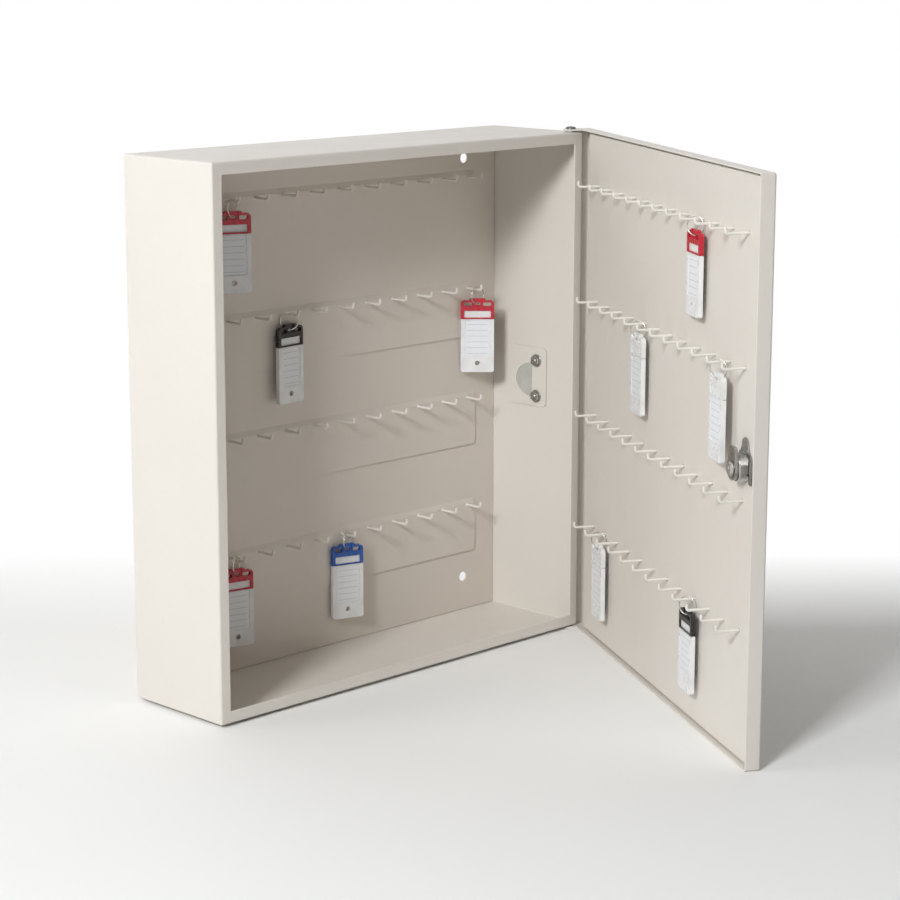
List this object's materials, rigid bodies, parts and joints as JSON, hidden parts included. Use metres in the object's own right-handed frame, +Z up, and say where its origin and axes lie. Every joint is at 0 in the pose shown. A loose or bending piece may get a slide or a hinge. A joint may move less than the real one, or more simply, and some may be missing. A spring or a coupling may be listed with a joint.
{
  "type": "key cabinet",
  "caption": "White steel wall key cabinet with its door open, hook rows on the back and the door, a cam lock and hanging key tags.",
  "frame": {"origin": "middle of the case's underside", "axes": "+Z up, -Y out of the front where the door is, +X towards the hinge side"},
  "size_m": [0.3471, 0.3746, 0.3608],
  "materials": {
    "white_paint": "satin",
    "plated_steel": "satin",
    "dark_steel": "satin",
    "white_plastic": "gloss",
    "red_plastic": "gloss",
    "blue_plastic": "gloss",
    "black_plastic": "gloss"
  },
  "bodies": {
    "case": {"case_shell": "white_paint", "back_panel": "white_paint", "back_hook_strip_1": "white_paint", "back_hook_strip_2": "white_paint", "back_hook_strip_3": "white_paint", "back_hook_strip_4": "white_paint", "side_plate": "white_paint", "side_plate_nut_upper": "dark_steel", "side_plate_nut_lower": "dark_steel", "hinge_pin_upper": "dark_steel", "hinge_pin_lower": "dark_steel", "hinge_washer_upper": "plated_steel", "hinge_washer_lower": "plated_steel"},
    "door": {"door_pan": "white_paint", "door_liner": "white_paint", "door_hook_bar_1": "white_paint", "door_hook_bar_2": "white_paint", "door_hook_bar_3": "white_paint", "door_hook_bar_4": "white_paint", "lock_body": "plated_steel", "lock_clip": "dark_steel"},
    "lock_cylinder": {"lock_plug": "plated_steel", "lock_cam": "dark_steel", "lock_cam_screw": "plated_steel"},
    "tag_1": {"tag_1_body": "white_plastic", "tag_1_cap": "red_plastic", "tag_1_ring": "plated_steel"},
    "tag_2": {"tag_2_body": "white_plastic", "tag_2_cap": "black_plastic", "tag_2_ring": "plated_steel"},
    "tag_3": {"tag_3_body": "white_plastic", "tag_3_cap": "red_plastic", "tag_3_ring": "plated_steel"},
    "tag_4": {"tag_4_body": "white_plastic", "tag_4_cap": "red_plastic", "tag_4_ring": "plated_steel"},
    "tag_5": {"tag_5_body": "white_plastic", "tag_5_cap": "blue_plastic", "tag_5_ring": "plated_steel"},
    "tag_6": {"tag_6_body": "white_plastic", "tag_6_cap": "red_plastic", "tag_6_ring": "plated_steel"},
    "tag_7": {"tag_7_body": "white_plastic", "tag_7_cap": "white_plastic", "tag_7_ring": "plated_steel"},
    "tag_8": {"tag_8_body": "white_plastic", "tag_8_cap": "white_plastic", "tag_8_ring": "plated_steel"},
    "tag_9": {"tag_9_body": "white_plastic", "tag_9_cap": "white_plastic", "tag_9_ring": "plated_steel"},
    "tag_10": {"tag_10_body": "white_plastic", "tag_10_cap": "black_plastic", "tag_10_ring": "plated_steel"}
  },
  "joints": [
    {"name": "door_hinge", "type": "hinge", "parent": "case", "child": "door", "pos_m": [0.1615, -0.037, 0], "axis": [0, 0, 1], "range_deg": [-60, 34]},
    {"name": "lock_turn", "type": "hinge", "parent": "door", "child": "lock_cylinder", "pos_m": [-0.02679, -0.28913, 0.181], "axis": [0.866, -0.5, 0], "range_deg": [0, 90]},
    {"name": "tag_1_swing", "type": "hinge", "parent": "case", "child": "tag_1", "pos_m": [-0.0875, 0.03275, 0.32], "axis": [0, 1, 0], "range_deg": [-25, 25]},
    {"name": "tag_2_swing", "type": "hinge", "parent": "case", "child": "tag_2", "pos_m": [-0.0375, 0.03527, 0.24], "axis": [0, 1, 0], "range_deg": [-25, 25]},
    {"name": "tag_3_swing", "type": "hinge", "parent": "case", "child": "tag_3", "pos_m": [0.1375, 0.02959, 0.24], "axis": [0, 1, 0], "range_deg": [-18, 25]},
    {"name": "tag_4_swing", "type": "hinge", "parent": "case", "child": "tag_4", "pos_m": [-0.0875, 0.03504, 0.08], "axis": [0, 1, 0], "range_deg": [-25, 25]},
    {"name": "tag_5_swing", "type": "hinge", "parent": "case", "child": "tag_5", "pos_m": [0.0125, 0.03425, 0.08], "axis": [0, 1, 0], "range_deg": [-25, 25]},
    {"name": "tag_6_swing", "type": "hinge", "parent": "door", "child": "tag_6", "pos_m": [0.04922, -0.2418, 0.32], "axis": [0.866, -0.5, 0], "range_deg": [-25, 25]},
    {"name": "tag_7_swing", "type": "hinge", "parent": "door", "child": "tag_7", "pos_m": [0.09896, -0.15504, 0.24], "axis": [0.866, -0.5, 0], "range_deg": [-25, 25]},
    {"name": "tag_8_swing", "type": "hinge", "parent": "door", "child": "tag_8", "pos_m": [0.02183, -0.28372, 0.24], "axis": [0.866, -0.5, 0], "range_deg": [-5, 20]},
    {"name": "tag_9_swing", "type": "hinge", "parent": "door", "child": "tag_9", "pos_m": [0.13646, -0.09009, 0.08], "axis": [0.866, -0.5, 0], "range_deg": [-25, 25]},
    {"name": "tag_10_swing", "type": "hinge", "parent": "door", "child": "tag_10", "pos_m": [0.04922, -0.2418, 0.08], "axis": [0.866, -0.5, 0], "range_deg": [-25, 25]}
  ]
}
